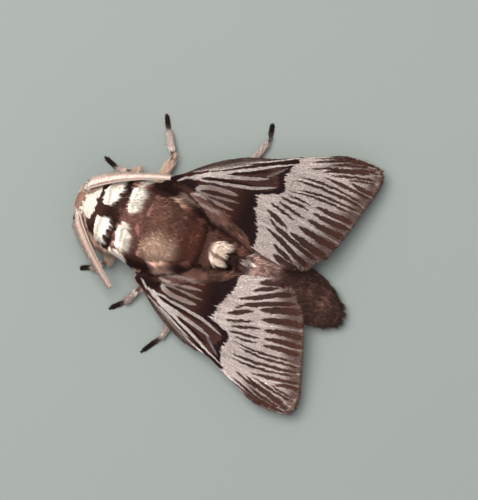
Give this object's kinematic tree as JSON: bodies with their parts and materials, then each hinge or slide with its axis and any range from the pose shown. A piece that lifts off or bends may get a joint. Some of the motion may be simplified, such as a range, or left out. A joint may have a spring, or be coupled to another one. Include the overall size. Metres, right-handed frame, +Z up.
{
  "type": "moth",
  "caption": "Resting lappet moth with furry body, feathered feelers and dark-streaked pinkish grey wings held in a low delta.",
  "frame": {"origin": "on the floor under the middle of the moth's box", "axes": "+Z up, the body lies along Y with the head towards -Y, and the moth's left wing is at +X"},
  "size_m": [0.0378, 0.0414, 0.0093],
  "materials": {
    "brown_coat": "short brown hair",
    "cream_coat": "dense cream hair",
    "dark_coat": "near-black hair",
    "eye": "dark compound eye",
    "antenna": "pale pinkish comb",
    "leg_coat": "tan hair",
    "foot": "dark brown scales",
    "forewing": "pinkish grey scales with dark streaks",
    "hindwing": "brown scales"
  },
  "bodies": {
    "root": {"abdomen_front": "brown_coat", "abdomen_middle": "brown_coat", "abdomen_tail": "brown_coat", "antenna_left": "antenna", "antenna_right": "antenna", "collar": "cream_coat", "crest_dark": "dark_coat", "crest_pale": "cream_coat", "eye_left": "eye", "eye_right": "eye", "femur_front_left": "leg_coat", "femur_front_right": "leg_coat", "femur_hind_left": "leg_coat", "femur_hind_right": "leg_coat", "femur_middle_left": "leg_coat", "femur_middle_right": "leg_coat", "forewing_left": "forewing", "forewing_right": "forewing", "head": "brown_coat", "hindwing_left": "hindwing", "hindwing_right": "hindwing", "palp_left": "brown_coat", "palp_right": "brown_coat", "tarsus_front_left": "foot", "tarsus_front_right": "foot", "tarsus_hind_left": "foot", "tarsus_hind_right": "foot", "tarsus_middle_left": "foot", "tarsus_middle_right": "foot", "tegula_left": "cream_coat", "tegula_right": "cream_coat", "thorax": "brown_coat", "tibia_front_left": "leg_coat", "tibia_front_right": "leg_coat", "tibia_hind_left": "leg_coat", "tibia_hind_right": "leg_coat", "tibia_middle_left": "leg_coat", "tibia_middle_right": "leg_coat"}
  },
  "joints": []
}
